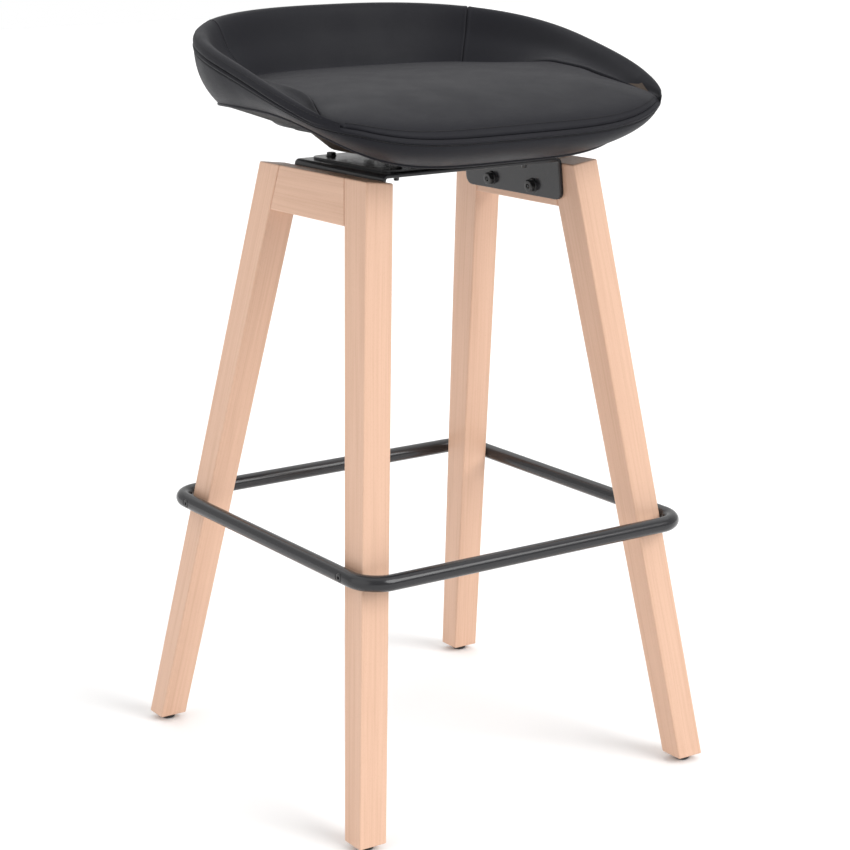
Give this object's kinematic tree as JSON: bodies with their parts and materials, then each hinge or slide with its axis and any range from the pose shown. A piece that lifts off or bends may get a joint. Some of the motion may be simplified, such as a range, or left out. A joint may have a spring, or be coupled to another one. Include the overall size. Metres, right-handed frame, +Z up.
{
  "type": "swivel bar stool",
  "caption": "Bar stool with a low-back upholstered bucket seat on a ball-race swivel, splayed beech frames, a steel foot ring and screw-in levelling glides.",
  "frame": {"origin": "on the floor, on the swivel axis, at the middle of the footprint", "axes": "+Z up along the swivel axis; -Y the way the seat faces; +X to the sitter's left, across the two wooden frames"},
  "size_m": [0.504, 0.4704, 0.8705],
  "materials": {
    "beech": "clear satin lacquer",
    "dowel_wood": "raw turned beech",
    "black_steel": "glossy black powder coat",
    "zinc": "zinc plated",
    "ball_steel": "greased bearing steel",
    "glide_plastic": "satin black nylon",
    "plywood": "moulded plywood, raw",
    "seat_foam": "foam under soft black leathercloth",
    "black_leather": "fine-grained black leathercloth",
    "under_cloth": "matt black dust cloth"
  },
  "bodies": {
    "base": {"leg_front_left": "beech", "leg_back_left": "beech", "leg_front_right": "beech", "leg_back_right": "beech", "top_rail_left": "beech", "top_rail_right": "beech", "dowel_front_left": "dowel_wood", "glide_insert_front_left": "zinc", "dowel_back_left": "dowel_wood", "glide_insert_back_left": "zinc", "dowel_front_right": "dowel_wood", "glide_insert_front_right": "zinc", "dowel_back_right": "dowel_wood", "glide_insert_back_right": "zinc", "foot_ring": "black_steel", "base_bracket": "black_steel", "ring_screw_1": "black_steel", "bracket_bolt_1": "black_steel", "bracket_washer_1": "black_steel", "rail_insert_1": "zinc", "swivel_bolt_1": "black_steel", "ring_screw_2": "black_steel", "bracket_bolt_2": "black_steel", "bracket_washer_2": "black_steel", "rail_insert_2": "zinc", "swivel_bolt_2": "black_steel", "ring_screw_3": "black_steel", "bracket_bolt_3": "black_steel", "bracket_washer_3": "black_steel", "rail_insert_3": "zinc", "swivel_bolt_3": "black_steel", "ring_screw_4": "black_steel", "bracket_bolt_4": "black_steel", "bracket_washer_4": "black_steel", "rail_insert_4": "zinc", "swivel_bolt_4": "black_steel", "swivel_lower_plate": "black_steel", "pivot_rivet": "zinc"},
    "seat": {"swivel_upper_plate": "black_steel", "seat_bolt_1": "zinc", "seat_bolt_2": "zinc", "seat_bolt_3": "zinc", "seat_bolt_4": "zinc", "tee_nut_1": "zinc", "tee_nut_2": "zinc", "tee_nut_3": "zinc", "tee_nut_4": "zinc", "seat_shell": "plywood", "seat_cushion": "seat_foam", "back_pad": "seat_foam", "outer_cover": "black_leather", "bottom_cover": "under_cloth"},
    "ball_cage": {"ball_cage": "ball_steel"},
    "glide_front_left": {"levelling_glide_front_left": "glide_plastic"},
    "glide_back_left": {"levelling_glide_back_left": "glide_plastic"},
    "glide_front_right": {"levelling_glide_front_right": "glide_plastic"},
    "glide_back_right": {"levelling_glide_back_right": "glide_plastic"}
  },
  "joints": [
    {"name": "seat_swivel", "type": "hinge", "parent": "base", "child": "seat", "pos_m": [0, 0, 0.7155], "axis": [0, 0, 1], "continuous": true},
    {"name": "ball_cage_spin", "type": "hinge", "parent": "base", "child": "ball_cage", "pos_m": [0, 0, 0.7155], "axis": [0, 0, 1], "continuous": true},
    {"name": "levelling_front_left", "type": "slide", "parent": "base", "child": "glide_front_left", "axis": [0, 0, -1], "range_m": [-0.0017, 0.008]},
    {"name": "levelling_back_left", "type": "slide", "parent": "base", "child": "glide_back_left", "axis": [0, 0, -1], "range_m": [-0.0017, 0.008]},
    {"name": "levelling_front_right", "type": "slide", "parent": "base", "child": "glide_front_right", "axis": [0, 0, -1], "range_m": [-0.0017, 0.008]},
    {"name": "levelling_back_right", "type": "slide", "parent": "base", "child": "glide_back_right", "axis": [0, 0, -1], "range_m": [-0.0017, 0.008]}
  ],
  "couplings": [
    {"joint": "ball_cage_spin", "follows": "seat_swivel", "ratio": 0.5}
  ]
}
